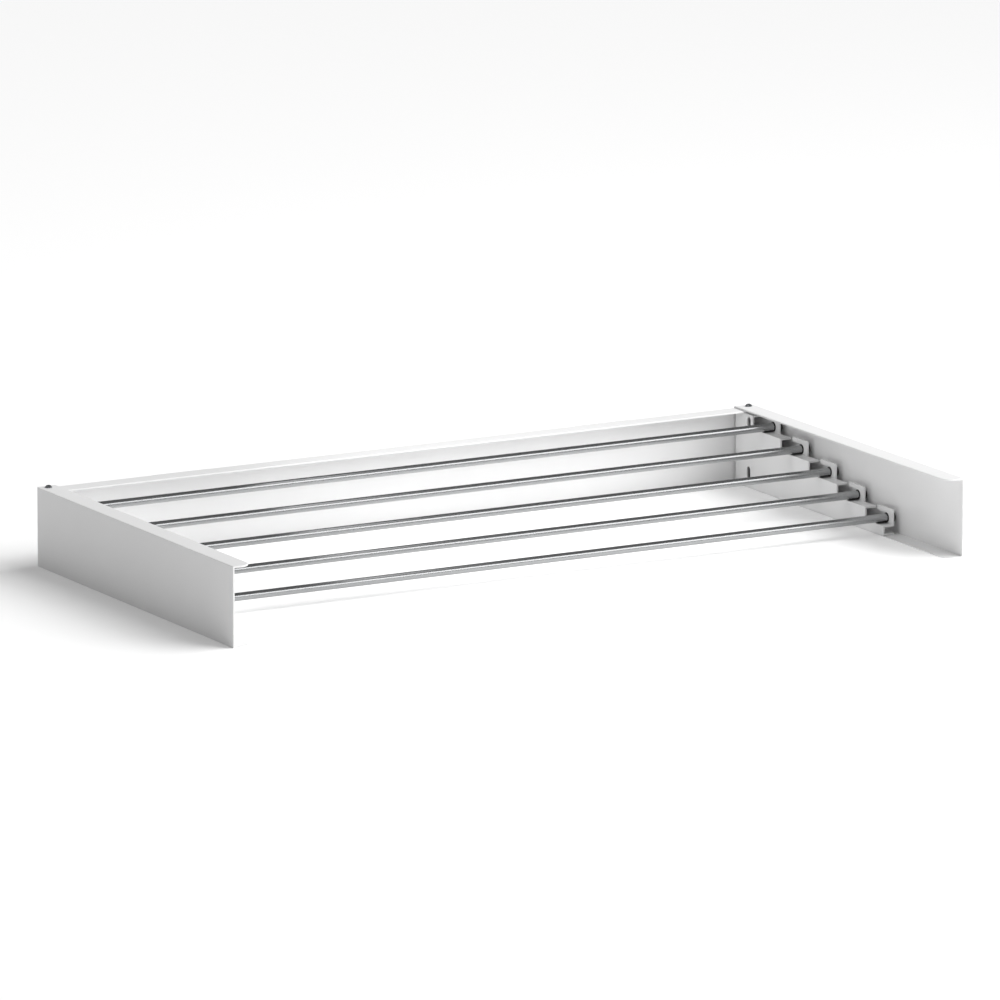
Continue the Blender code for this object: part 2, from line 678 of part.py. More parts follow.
def build_rods(axis, surfaces):
    tube = finish_mesh("drying_rod", rod_tube(), smooth=True)
    for step in range(STEP_COUNT):
        add_object(f"drying_rod_{step + 1}", tube, surfaces["stainless"], axis, rod_centre(step))
    for side, word in ((-1, "left"), (1, "right")):
        clip = finish_mesh(f"{word}_rod_clip", rod_clip(side))
        plug = finish_mesh(f"{word}_rod_plug", rod_plug(side), smooth=True)
        for step in range(STEP_COUNT):
            tip = rod_centre(step) + Vector((side * (ROD_HALF + TOUCH), 0.0, 0.0))
            add_object(f"{word}_rod_plug_{step + 1}", plug, surfaces["nylon"], axis, tip)
            place = rod_centre(step) + Vector((side * HOOK_FACE, 0.0, 0.0))
            add_object(f"{word}_rod_clip_{step + 1}", clip, surfaces["nylon"], axis, place)


def build_frame_hardware(axis, surfaces):
    plated = surfaces["plated"]
    corner_grip = 3 * (SHEET + TOUCH)
    foot_grip = 2 * (SHEET + TOUCH)
    screw = finish_mesh("corner_screw", button_screw(), smooth=True)
    nut = finish_mesh("corner_nut", hex_nut(SCREW_RADIUS + TOUCH, NUT_FLATS, NUT_HEIGHT, "Z"))
    corner_rivet = finish_mesh("corner_rivet", rivet(corner_grip), smooth=True)
    foot_rivet = finish_mesh("foot_rivet", rivet(foot_grip), smooth=True)
    nut_base = BRACKET_HALF - SHEET - TOUCH - NUT_HEIGHT
    for side, word in ((-1, "left"), (1, "right")):
        x = side * FASTENER_X
        add_object(f"{word}_corner_screw", screw, plated, axis, (x, FASTENER_Y, TOP + TOUCH))
        add_object(f"{word}_corner_nut", nut, plated, axis, (x, FASTENER_Y, nut_base))
        place = (x, FASTENER_Y, BOTTOM + corner_grip)
        add_object(f"{word}_corner_rivet", corner_rivet, plated, axis, place)
        for index, (foot_x, foot_y) in enumerate(foot_rivets(side)):
            name = f"{word}_foot_rivet_{index + 1}"
            place = (foot_x, foot_y, BOTTOM + foot_grip)
            add_object(name, foot_rivet, plated, axis, place)


def build_hinges(wall, axis, surfaces):
    steel = surfaces["hinge_steel"]
    plated = surfaces["plated"]
    pin = finish_mesh("hinge_pin", hinge_pin(), smooth=True)
    nut = finish_mesh("hinge_nut", hex_nut(HINGE_PIN_RADIUS + TOUCH, NUT_FLATS, NUT_HEIGHT, "X"))
    washer = finish_mesh("hinge_washer", friction_washer(), smooth=True)
    first = INNER_KNUCKLE / 2 + TOUCH
    for x, word in zip(hinge_centres(), ("left", "right")):
        name = f"{word}_hinge_wall_leaf"
        add_object(name, finish_mesh(name, wall_leaf(x)), steel, wall)
        name = f"{word}_hinge_frame_leaf"
        add_object(name, finish_mesh(name, frame_leaf(x)), steel, axis)
        middle = Vector((x, AXIS.y, AXIS.z))
        end = middle + Vector((hinge_half_length() + TOUCH, 0.0, 0.0))
        add_object(f"{word}_hinge_pin", pin, plated, wall, middle)
        add_object(f"{word}_hinge_nut", nut, plated, wall, end)
        for index, shift in enumerate((-first - WASHER_THICKNESS, first)):
            place = middle + Vector((shift, 0.0, 0.0))
            add_object(f"{word}_hinge_washer_{index + 1}", washer, surfaces["nylon"], wall, place)


def build_wall_side(wall, surfaces):
    plate = finish_mesh("wall_plate", wall_plate())
    add_object("wall_plate", plate, surfaces["powder_coat"], wall)
    buffer = finish_mesh("bumper", bumper(), smooth=True)
    screw = finish_mesh("bumper_screw", bumper_screw(), smooth=True)
    seat = -FRAME_BACK + TOUCH + BUMPER_RECESS_DEPTH - TOUCH
    for side, word in ((-1, "left"), (1, "right")):
        x = side * BUMPER_SPREAD / 2
        place = (x, WALL_LEAF_BACK, -BUMPER_DROP)
        add_object(f"{word}_bumper", buffer, surfaces["rubber"], wall, place)
        place = (x, seat, -BUMPER_DROP)
        add_object(f"{word}_bumper_screw", screw, surfaces["plated"], wall, place)


def main():
    for item in list(bpy.data.objects):
        bpy.data.objects.remove(item)
    surfaces = {
        "powder_coat": material("white_powder_coat", (0.80, 0.80, 0.80), 0.45, 0.0),
        "stainless": material("polished_stainless", (0.62, 0.62, 0.63), 0.15, 1.0),
        "plated": material("zinc_plated_steel", (0.45, 0.45, 0.46), 0.30, 1.0),
        "hinge_steel": material("hinge_steel", (0.50, 0.50, 0.51), 0.40, 1.0),
        "nylon": material("black_nylon", (0.02, 0.02, 0.02), 0.50, 0.0),
        "rubber": material("black_rubber", (0.03, 0.03, 0.03), 0.75, 0.0),
    }
    wall = empty("wall_origin", (0.0, 0.0, 0.0))
    axis = empty("fold_axis", AXIS)
    build_wall_side(wall, surfaces)
    build_hinges(wall, axis, surfaces)
    build_frame(axis, surfaces)


main()
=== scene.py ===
"""Finishes, light and camera for a wall mounted fold down drying rack.

Units are metres, +Z is up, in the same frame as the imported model.
"""
import json
import math

import bpy
from bpy.props import FloatProperty, FloatVectorProperty, IntProperty, PointerProperty
from bpy.types import Operator, Panel, PropertyGroup
from mathutils import Matrix, Vector


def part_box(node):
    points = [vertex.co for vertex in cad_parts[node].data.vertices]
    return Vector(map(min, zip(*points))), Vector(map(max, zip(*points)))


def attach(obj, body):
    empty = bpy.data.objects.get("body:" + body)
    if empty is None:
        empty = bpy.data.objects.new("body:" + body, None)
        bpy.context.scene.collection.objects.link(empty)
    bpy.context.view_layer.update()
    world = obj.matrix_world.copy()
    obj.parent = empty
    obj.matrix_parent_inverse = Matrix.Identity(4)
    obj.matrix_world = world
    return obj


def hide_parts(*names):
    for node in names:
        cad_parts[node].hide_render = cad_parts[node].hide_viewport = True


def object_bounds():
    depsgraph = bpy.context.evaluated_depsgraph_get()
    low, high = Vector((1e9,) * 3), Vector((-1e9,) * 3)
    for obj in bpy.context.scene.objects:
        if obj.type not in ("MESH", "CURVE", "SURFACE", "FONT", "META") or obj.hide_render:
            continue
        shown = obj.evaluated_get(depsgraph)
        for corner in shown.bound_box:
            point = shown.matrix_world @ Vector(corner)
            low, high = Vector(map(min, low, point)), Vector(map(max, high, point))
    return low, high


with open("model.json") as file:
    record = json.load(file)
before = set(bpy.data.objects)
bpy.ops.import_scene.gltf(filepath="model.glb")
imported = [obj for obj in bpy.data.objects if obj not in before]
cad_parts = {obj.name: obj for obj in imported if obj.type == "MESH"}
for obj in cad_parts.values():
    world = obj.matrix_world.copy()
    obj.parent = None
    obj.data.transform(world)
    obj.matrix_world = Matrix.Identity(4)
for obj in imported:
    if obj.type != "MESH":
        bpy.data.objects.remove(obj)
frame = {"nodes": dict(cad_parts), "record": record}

bl_info = {
    "name": "Fold down drying rack",
    "version": (1, 0, 0),
    "blender": (4, 5, 0),
    "location": "3D View > Sidebar > Drying Rack",
    "description": "Gives the drying rack its finished pieces, materials, light and camera",
    "category": "Object",
}

CAD_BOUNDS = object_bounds()
BEHAVIOUR = frame["record"]["behaviour"]
BODY_OF = {node: body for body, nodes in BEHAVIOUR["bodies"].items() for node in nodes}
SLOT_OF = {part["node"]: part["material_slot"] for part in frame["record"]["subparts"]}
NODES = sorted(frame["nodes"])
MILLIMETRE = 0.001

# Materials
NOISE_LOW, NOISE_HIGH = 0.3, 0.7         # most values of a noise lie between these

# Modelling
MERGE_DISTANCE = 0.002 * MILLIMETRE      # corners closer than this are one corner
FLAT_ANGLE = math.radians(0.5)           # faces that turn less than this are one face
SHARP_ANGLE = math.radians(30)           # edges that turn more than this are rounded
FACING = 0.9                             # a face whose normal has this much of Z is an end

# Rod plugs
PLUG_EDGE = 0.0005                       # rounding of the disc and the stem
PLUG_PLAY = 0.0003                       # gap between the stem and the tube's bore

# Corner screws
SCREW_HEAD_HEIGHT = 0.0028
SCREW_CROWN = 0.52                       # the head's top as a share of its rim
SCREW_SHANK_RADIUS = 0.0025
SCREW_EDGE = 0.0007
SCREW_SIDES = 48
SOCKET_RADIUS = 0.0017
SOCKET_LENGTH = 0.0032                   # half of the cutter is above the head
SOCKET_SIDES = 6

# Floor
FLOOR_SIZE = 60.0
FLOOR_HEIGHT = CAD_BOUNDS[0].z + 0.001   # the rack's lowest millimetre is below the floor
FLOOR_ROUGHNESS = 0.9

# Light: where it stands, or where it comes from, and the point that it shines at
CEILING_ANGLE = math.radians(58)
CEILING_DIRECTION = (0.62, -0.30, 0.72)
RIGHT_SIZE, RIGHT_PLACE, RIGHT_AIM = (1.5, 1.5), (2.0, -0.6, 2.2), (0.0, -0.3, 0.0)
FRONT_SIZE, FRONT_PLACE, FRONT_AIM = (2.4, 1.7), (1.9, -2.8, 1.4), (-0.1, -0.1, 0.0)
INNER_SIZE, INNER_PLACE, INNER_AIM = (0.5, 0.6), (0.02, -0.3, 0.4), (0.5, -0.3, 0.0)

# Camera
AIM_RIGHT = 0.11071                      # from the rack's middle
AIM_FORWARD = 0.05567                    # from the back of the rail
AIM_HEIGHT = -0.02160
SENSOR_WIDTH_MM = 36.0
CLIP_END = 200.0


# ---------------------------------------------------------------- colours and nodes
def linear(value):
    """Turn an sRGB hex colour into the linear one that shaders use."""
    channels = [int(value[index:index + 2], 16) / 255 for index in (1, 3, 5)]
    return tuple(c / 12.92 if c <= 0.04045 else ((c + 0.055) / 1.055) ** 2.4
                 for c in channels)


def shaded(colour, factor):
    """A colour made darker or lighter by a factor."""
    return tuple(channel * factor for channel in colour)


def add_node(tree, kind, settings=(), links=()):
    """Add a node, set its properties or sockets, and link sockets to earlier nodes."""
    node = tree.nodes.new(kind)
    for key, value in dict(settings).items():
        if isinstance(key, str) and hasattr(node, key):
            setattr(node, key, value)
        else:
            node.inputs[key].default_value = value
    for key, (source, output) in dict(links).items():
        tree.links.new(source.outputs[output], node.inputs[key])
    return node


def new_material(name):
    """A material with an empty tree, its output and a Principled shader."""
    made = bpy.data.materials.new(name)
    made.use_nodes = True
    tree = made.node_tree
    tree.nodes.clear()
    shader = add_node(tree, "ShaderNodeBsdfPrincipled")
    output = add_node(tree, "ShaderNodeOutputMaterial", links={"Surface": (shader, "BSDF")})
    output.location = (300, 0)
    return made, tree, shader


def noise(tree, per_metre, detail, stretch=(1.0, 1.0, 1.0)):
    """Noise on object coordinates; per_metre is how many waves fit in a metre."""
    place = add_node(tree, "ShaderNodeTexCoord")
    mapped = add_node(tree, "ShaderNodeMapping", {"Scale": stretch},
                      {"Vector": (place, "Object")})
    return add_node(tree, "ShaderNodeTexNoise",
                    {"Scale": per_metre, "Detail": detail, "Roughness": 0.55},
                    {"Vector": (mapped, "Vector")})


def paint(tree, shader, source, dark, light):
    """Blend the base colour between two linear colours by a noise."""
    ramp = add_node(tree, "ShaderNodeValToRGB", links={"Fac": (source, "Fac")})
    first, last = ramp.color_ramp.elements
    first.position, first.color = NOISE_LOW, (*dark, 1.0)
    last.position, last.color = NOISE_HIGH, (*light, 1.0)
    tree.links.new(ramp.outputs["Color"], shader.inputs["Base Color"])


def gloss(tree, shader, source, low, high):
    """Vary the roughness over a range by a noise."""
    mapped = add_node(tree, "ShaderNodeMapRange",
                      {"From Min": NOISE_LOW, "From Max": NOISE_HIGH,
                       "To Min": low, "To Max": high},
                      {"Value": (source, "Fac")})
    tree.links.new(mapped.outputs["Result"], shader.inputs["Roughness"])


def relief(tree, shader, source, strength, depth_mm):
    """Raise and sink the surface by a noise."""
    bump = add_node(tree, "ShaderNodeBump",
                    {"Strength": strength, "Distance": depth_mm * MILLIMETRE},
                    {"Height": (source, "Fac")})
    tree.links.new(bump.outputs["Normal"], shader.inputs["Normal"])


# ---------------------------------------------------------------- materials
def powder_coat(finish):
    """White polyester powder coat: baked, even, with a soft orange peel and a low gloss."""
    made, tree, shader = new_material("white_polyester_powder_coat")
    colour, rough = tuple(finish.coat_colour), finish.coat_roughness
    cloud = noise(tree, 6.0, detail=3.0)         # slow drift in film thickness, 160 mm
    paint(tree, shader, cloud, shaded(colour, 0.975), colour)
    patches = noise(tree, 240.0, detail=3.0)     # gloss changes over about 4 mm
    gloss(tree, shader, patches, rough - 0.05, rough + 0.06)
    peel = noise(tree, 700.0, detail=2.0)        # orange peel waves, 1.4 mm apart
    relief(tree, shader, peel, strength=0.22, depth_mm=0.08)
    shader.inputs["IOR"].default_value = 1.5
    return made


def polished_stainless(finish):
    """Stainless tube polished along its length: bright, with fine lines along it."""
    made, tree, shader = new_material("polished_stainless_steel")
    colour, rough = tuple(finish.steel_colour), finish.steel_roughness
    # polishing lines about 0.5 mm apart
    lines = noise(tree, 60.0, detail=4.0, stretch=(0.35, 30.0, 30.0))
    paint(tree, shader, lines, shaded(colour, 0.93), colour)
    gloss(tree, shader, lines, rough - 0.03, rough + 0.04)
    relief(tree, shader, lines, strength=0.05, depth_mm=0.02)
    shader.inputs["Metallic"].default_value = 1.0
    return made


def zinc_plate(finish):
    """Bright zinc plated steel: a cool metal, slightly mottled by the plating bath."""
    made, tree, shader = new_material("bright_zinc_plated_steel")
    colour = tuple(finish.zinc_colour)
    mottle = noise(tree, 500.0, detail=3.0)      # spangle about 2 mm across
    paint(tree, shader, mottle, shaded(colour, 0.82), colour)
    gloss(tree, shader, mottle, 0.22, 0.36)
    grain = noise(tree, 3500.0, detail=2.0)      # plating grain, 0.3 mm
    relief(tree, shader, grain, strength=0.12, depth_mm=0.03)
    shader.inputs["Metallic"].default_value = 1.0
    return made


def hinge_steel(finish):
    """Satin steel hinge: tumbled after stamping, so it is dull with short scratches."""
    made, tree, shader = new_material("satin_tumbled_steel")
    colour = tuple(finish.hinge_colour)
    cloud = noise(tree, 90.0, detail=4.0)        # handling marks about 11 mm across
    paint(tree, shader, cloud, shaded(colour, 0.8), colour)
    gloss(tree, shader, cloud, 0.34, 0.5)
    # scratches 1 mm apart and 5 mm long
    scratches = noise(tree, 900.0, detail=2.0, stretch=(0.2, 1.0, 1.0))
    relief(tree, shader, scratches, strength=0.2, depth_mm=0.04)
    shader.inputs["Metallic"].default_value = 1.0
    return made


def moulded(name, colour, roughness, grain_mm, depth_mm):
    """A dark moulded material with a fine eroded grain."""
    made, tree, shader = new_material(name)
    grain = noise(tree, 1.0 / (grain_mm * MILLIMETRE), detail=3.0)
    paint(tree, shader, grain, shaded(colour, 0.75), shaded(colour, 1.2))
    gloss(tree, shader, grain, roughness - 0.06, roughness + 0.06)
    relief(tree, shader, grain, strength=0.3, depth_mm=depth_mm)
    return made


def black_nylon(finish):
    """Black nylon, injection moulded in an eroded tool: matt, with a sandy grain."""
    return moulded("black_moulded_nylon", tuple(finish.nylon_colour),
                   roughness=0.46, grain_mm=0.5, depth_mm=0.03)


def black_rubber(finish):
    """Black moulded rubber: very dull, a little dusty."""
    return moulded("black_moulded_rubber", tuple(finish.rubber_colour),
                   roughness=0.78, grain_mm=0.8, depth_mm=0.05)


MATERIAL_MAKERS = {
    "white_powder_coat": powder_coat,
    "polished_stainless": polished_stainless,
    "zinc_plated_steel": zinc_plate,
    "hinge_steel": hinge_steel,
    "black_nylon": black_nylon,
    "black_rubber": black_rubber,
}
made_materials = {}


def finish_of(node):
    """The material of a node's slot, made on first use."""
    slot = SLOT_OF[node]
    if slot not in made_materials:
        made_materials[slot] = MATERIAL_MAKERS[slot](bpy.context.scene.rack_finish)
    return made_materials[slot]


# ---------------------------------------------------------------- modelling helpers
def nodes_with(*words):
    """The CAD nodes whose names hold any of the words, in order."""
    return [node for node in NODES if any(word in node for word in words)]


def sizes(node):
    """The centre and the span of a CAD node's box."""
    low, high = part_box(node)
    return (low + high) / 2, high - low


def only(piece):
    """Select one object and nothing else, and make it active."""
    if bpy.context.object and bpy.context.object.mode != "OBJECT":
        bpy.ops.object.mode_set(mode="OBJECT")
    bpy.ops.object.select_all(action="DESELECT")
    piece.select_set(True)
    bpy.context.view_layer.objects.active = piece


def add_modifier(piece, kind, **settings):
    """Add a modifier, set it and apply it."""
    modifier = piece.modifiers.new(kind.title(), kind)
    for key, value in settings.items():
        setattr(modifier, key, value)
    only(piece)
    bpy.ops.object.modifier_apply(modifier=modifier.name)


def round_edges(piece, width, segments):
    """Round every sharp edge and keep the flat faces flat in the shading."""
    add_modifier(piece, "BEVEL", width=width, segments=segments, limit_method="ANGLE",
                 angle_limit=SHARP_ANGLE, use_clamp_overlap=True, miter_outer="MITER_ARC")
    only(piece)
    bpy.ops.object.shade_smooth()
    add_modifier(piece, "WEIGHTED_NORMAL", mode="FACE_AREA", weight=60, keep_sharp=True)


def clean_copy(node):
    """A copy of a CAD node as a new piece, its loose triangles merged into whole faces."""
    source = frame["nodes"][node]
    piece = bpy.data.objects.new(f"finished_{node}", source.data.copy())
    bpy.context.scene.collection.objects.link(piece)
    only(piece)
    bpy.ops.object.mode_set(mode="EDIT")
    bpy.ops.mesh.select_all(action="SELECT")
    bpy.ops.mesh.remove_doubles(threshold=MERGE_DISTANCE)
    bpy.ops.mesh.dissolve_limited(angle_limit=FLAT_ANGLE)
    bpy.ops.object.mode_set(mode="OBJECT")
    return piece


def hand_over(piece, node):
    """Give a finished piece its material, body and slot in place of its CAD node."""
    piece.name = f"finished_{node}"
    piece.data.name = piece.name
    piece.data.materials.clear()
    piece.data.materials.append(finish_of(node))
    only(piece)
    bpy.ops.object.transform_apply(location=True, rotation=True, scale=True)
    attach(piece, BODY_OF[node])
    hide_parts(node)


def finish_copies(words, width, segments=2):
    """Round the edges of a clean copy of each CAD node with these words and hand it over."""
    for node in nodes_with(*words):
        piece = clean_copy(node)
        round_edges(piece, width, segments)
        hand_over(piece, node)


def select_faces(piece, test):
    """Select in edit mode the faces whose normals pass a test."""
    bpy.ops.object.mode_set(mode="OBJECT")
    bpy.context.tool_settings.mesh_select_mode = (False, False, True)
    for part in (piece.data.vertices, piece.data.edges, piece.data.polygons):
        part.foreach_set("select", [False] * len(part))
    for face in piece.data.polygons:
        face.select = test(face.normal)
    bpy.ops.object.mode_set(mode="EDIT")


def add_round(radius, depth, centre, axis, sides):
    """A cylinder along +X or +Z, its place still on the object."""
    bpy.ops.object.select_all(action="DESELECT")
    turn = {"X": (0.0, math.pi / 2, 0.0), "Z": (0.0, 0.0, 0.0)}
    bpy.ops.mesh.primitive_cylinder_add(vertices=sides, radius=radius, depth=depth,
                                        location=centre, rotation=turn[axis])
    return bpy.context.object


def repeat(piece, first, others):
    """Hand over a piece and a copy of it, with its own mesh, for each like node."""
    start = sizes(first)[0]
    for node in others:
        only(piece)
        bpy.ops.object.duplicate(linked=False)
        copy = bpy.context.object
        copy.location += sizes(node)[0] - start
        hand_over(copy, node)
    hand_over(piece, first)


def repeat_by_side(word, make):
    """Make a piece once for the left and once for the right, and copy it to its like."""
    for side in ("left", "right"):
        first, *others = [node for node in nodes_with(word) if node.startswith(side)]
        repeat(make(first), first, others)


# ---------------------------------------------------------------- settings
class RackFinishSettings(PropertyGroup):
    """Colours and gloss of the finishes"""
    coat_colour: FloatVectorProperty(
        name="Powder coat", description="Colour of the powder coat", subtype="COLOR",
        min=0.0, max=1.0, default=linear("#EFEFEF"))
    coat_roughness: FloatProperty(
        name="Coat roughness", description="0 is glossy and 1 is matt", subtype="FACTOR",
        min=0.1, max=0.9, default=0.42)
    steel_colour: FloatVectorProperty(
        name="Stainless steel", description="Colour of the polished rods",
        subtype="COLOR", min=0.0, max=1.0, default=linear("#A8A9AA"))
    steel_roughness: FloatProperty(
        name="Steel roughness", description="0 is a mirror", subtype="FACTOR",
        min=0.04, max=0.6, default=0.25)
    zinc_colour: FloatVectorProperty(
        name="Zinc plate", description="Colour of the screws, nuts and rivets",
        subtype="COLOR", min=0.0, max=1.0, default=linear("#B4B7BB"))
    hinge_colour: FloatVectorProperty(
        name="Hinge steel", description="Colour of the hinge leaves", subtype="COLOR",
        min=0.0, max=1.0, default=linear("#A9AAAC"))
    nylon_colour: FloatVectorProperty(
        name="Nylon", description="Colour of the clips, plugs and washers",
        subtype="COLOR", min=0.0, max=1.0, default=linear("#161617"))
    rubber_colour: FloatVectorProperty(
        name="Rubber", description="Colour of the bumpers", subtype="COLOR",
        min=0.0, max=1.0, default=linear("#1C1C1D"))


class RackDetailSettings(PropertyGroup):
    """Sizes of the finished pieces' own details"""
    sheet_edge: FloatProperty(
        name="Sheet edge", description="Rounding of the coated sheet's edges",
        unit="LENGTH", min=0.0001, max=0.0008, default=0.0004)
    small_edge: FloatProperty(
        name="Small edge", description="Rounding of the small pieces' edges",
        unit="LENGTH", min=0.00005, max=0.0003, default=0.00018)
    rod_radius: FloatProperty(
        name="Rod radius", description="Outside radius of the drying rods",
        unit="LENGTH", min=0.004, max=0.006, default=0.005)
    rod_wall: FloatProperty(
        name="Rod wall", description="Wall thickness of the drying rods",
        unit="LENGTH", min=0.0005, max=0.002, default=0.001)
    plug_disc: FloatProperty(
        name="Plug disc", description="Thickness of the rod plugs' discs",
        unit="LENGTH", min=0.0005, max=0.004, default=0.002)
    rod_sides: IntProperty(
        name="Rod sides", description="Facets round a rod", min=24, max=96, default=64)


class RackStudioSettings(PropertyGroup):
    """Camera and light"""
    azimuth: FloatProperty(
        name="Azimuth", description="How far round to the left the camera stands",
        subtype="ANGLE", default=math.radians(29.570))
    elevation: FloatProperty(
        name="Elevation", description="Camera's height above the horizon",
        subtype="ANGLE", default=math.radians(12.334))
    roll: FloatProperty(
        name="Roll", description="Camera's turn about its own axis",
        subtype="ANGLE", default=math.radians(0.103))
    distance: FloatProperty(
        name="Distance", description="From the camera to the point it aims at",
        unit="LENGTH", default=13.529)
    lens: FloatProperty(
        name="Lens", description="Focal length on a 36 mm sensor", unit="CAMERA",
        default=391.4)
    ambient: FloatProperty(
        name="Ambient", description="Strength of the light from all round", default=0.225)
    ceiling: FloatProperty(
        name="Ceiling light", description="Strength of the wide soft light from above",
        default=2.6)
    key: FloatProperty(
        name="Right softbox", description="Power of the softbox on the right, in watts",
        default=16.0)
    fill: FloatProperty(
        name="Front fill", description="Power of the softbox in front, in watts",
        default=35.0)
    inner: FloatProperty(
        name="Inner fill", description="Power of the small light above the rods, in watts",
        default=0.9)
    floor_glow: FloatProperty(
        name="Floor glow", description="How much the backlit floor shines by itself",
        default=0.15)


# ---------------------------------------------------------------- pieces
class RACK_OT_sheet_metal(Operator):
    """Finish the folded sheet: rail, arms, stair brackets and wall plate"""
    bl_idname = "rack.sheet_metal"
    bl_label = "Finish sheet metal"

    def execute(self, context):
        finish_copies(("rear_rail", "_arm", "_stair_bracket", "wall_plate"),
                      context.scene.rack_detail.sheet_edge, segments=3)
        return {"FINISHED"}


class RACK_OT_drying_rods(Operator):
    """Make the five polished tubes"""
    bl_idname = "rack.drying_rods"
    bl_label = "Make drying rods"

    def execute(self, context):
        detail = context.scene.rack_detail
        first, *others = nodes_with("drying_rod")
        centre, span = sizes(first)
        piece = add_round(detail.rod_radius, span.x, centre, "X", detail.rod_sides)
        select_faces(piece, lambda normal: abs(normal.z) > FACING)
        bpy.ops.mesh.delete(type="ONLY_FACE")
        bpy.ops.object.mode_set(mode="OBJECT")
        add_modifier(piece, "SOLIDIFY", thickness=detail.rod_wall, offset=-1.0)
        round_edges(piece, detail.small_edge, segments=3)
        repeat(piece, first, others)
        return {"FINISHED"}


class RACK_OT_rod_plugs(Operator):
    """Make the end plugs of the rods"""
    bl_idname = "rack.rod_plugs"
    bl_label = "Make rod plugs"

    def execute(self, context):
        repeat_by_side("rod_plug", self.make_plug)
        return {"FINISHED"}

    def make_plug(self, node):
        """A disc outside the hook with a stem that goes into the tube."""
        detail = bpy.context.scene.rack_detail
        centre, span = sizes(node)
        side = 1.0 if centre.x > 0 else -1.0
        stem_length = span.x - detail.plug_disc
        middle = Vector((centre.x + side * stem_length / 2, centre.y, centre.z))
        piece = add_round(span.z / 2, detail.plug_disc, middle, "X", detail.rod_sides)
        select_faces(piece, lambda normal: normal.z * side < -FACING)
        rim = span.z / 2 - detail.rod_radius + detail.rod_wall + PLUG_PLAY
        bpy.ops.mesh.inset(thickness=rim)
        inward = Vector((-side * stem_length, 0.0, 0.0))
        bpy.ops.mesh.extrude_region_move(TRANSFORM_OT_translate={"value": inward})
        bpy.ops.object.mode_set(mode="OBJECT")
        round_edges(piece, PLUG_EDGE, segments=4)
        return piece


class RACK_OT_rod_clips(Operator):
    """Finish the nylon clips that hold the rods in the hooks"""
    bl_idname = "rack.rod_clips"
    bl_label = "Finish rod clips"

    def execute(self, context):
        repeat_by_side("rod_clip", self.make_clip)
        return {"FINISHED"}

    def make_clip(self, node):
        """A clean copy of a clip with rounded edges."""
        piece = clean_copy(node)
        round_edges(piece, bpy.context.scene.rack_detail.small_edge, segments=2)
        return piece


class RACK_OT_corner_screws(Operator):
    """Make the button head screws of the arms' rear corners"""
    bl_idname = "rack.corner_screws"
    bl_label = "Make corner screws"

    def execute(self, context):
        first, *others = nodes_with("corner_screw")
        centre, span = sizes(first)
        top = centre.z + span.z / 2
        radius = span.x / 2
        middle = Vector((centre.x, centre.y, top - SCREW_HEAD_HEIGHT / 2))
        piece = add_round(radius, SCREW_HEAD_HEIGHT, middle, "Z", SCREW_SIDES)
        select_faces(piece, lambda normal: normal.z > FACING)
        bpy.ops.transform.resize(value=(SCREW_CROWN, SCREW_CROWN, 1.0))
        select_faces(piece, lambda normal: normal.z < -FACING)
        bpy.ops.mesh.inset(thickness=radius - SCREW_SHANK_RADIUS)
        downward = Vector((0.0, 0.0, -(span.z - SCREW_HEAD_HEIGHT)))
        bpy.ops.mesh.extrude_region_move(TRANSFORM_OT_translate={"value": downward})
        bpy.ops.object.mode_set(mode="OBJECT")
        round_edges(piece, SCREW_EDGE, segments=5)
        mouth = Vector((centre.x, centre.y, top))
        socket = add_round(SOCKET_RADIUS, SOCKET_LENGTH, mouth, "Z", SOCKET_SIDES)
        add_modifier(piece, "BOOLEAN", operation="DIFFERENCE", solver="EXACT",
                     object=socket)
        bpy.data.objects.remove(socket)
        repeat(piece, first, others)
        return {"FINISHED"}


class RACK_OT_fasteners(Operator):
    """Finish the nuts and rivets"""
    bl_idname = "rack.fasteners"
    bl_label = "Finish nuts and rivets"

    def execute(self, context):
        finish_copies(("_nut", "rivet"), context.scene.rack_detail.small_edge)
        return {"FINISHED"}


class RACK_OT_hinges(Operator):
    """Finish the hinge leaves, pins and friction washers"""
    bl_idname = "rack.hinges"
    bl_label = "Finish hinges"

    def execute(self, context):
        finish_copies(("_leaf", "hinge_pin", "hinge_washer"),
                      context.scene.rack_detail.small_edge)
        return {"FINISHED"}


class RACK_OT_bumpers(Operator):
    """Finish the rubber bumpers and their screws"""
    bl_idname = "rack.bumpers"
    bl_label = "Finish bumpers"

    def execute(self, context):
        finish_copies(("bumper",), context.scene.rack_detail.small_edge)
        return {"FINISHED"}


# ---------------------------------------------------------------- stage
def add_softbox(name, power, size, place, aim):
    """An area light at a place, turned towards a point."""
    light = bpy.data.lights.new(name, "AREA")
    light.shape = "RECTANGLE"
    light.size, light.size_y = size
    light.energy = power
    lamp = bpy.data.objects.new(name, light)
    bpy.context.scene.collection.objects.link(lamp)
    lamp.location = place
    lamp.rotation_euler = (Vector(aim) - Vector(place)).to_track_quat("-Z", "Y").to_euler()
    lamp.visible_camera = False
    return lamp


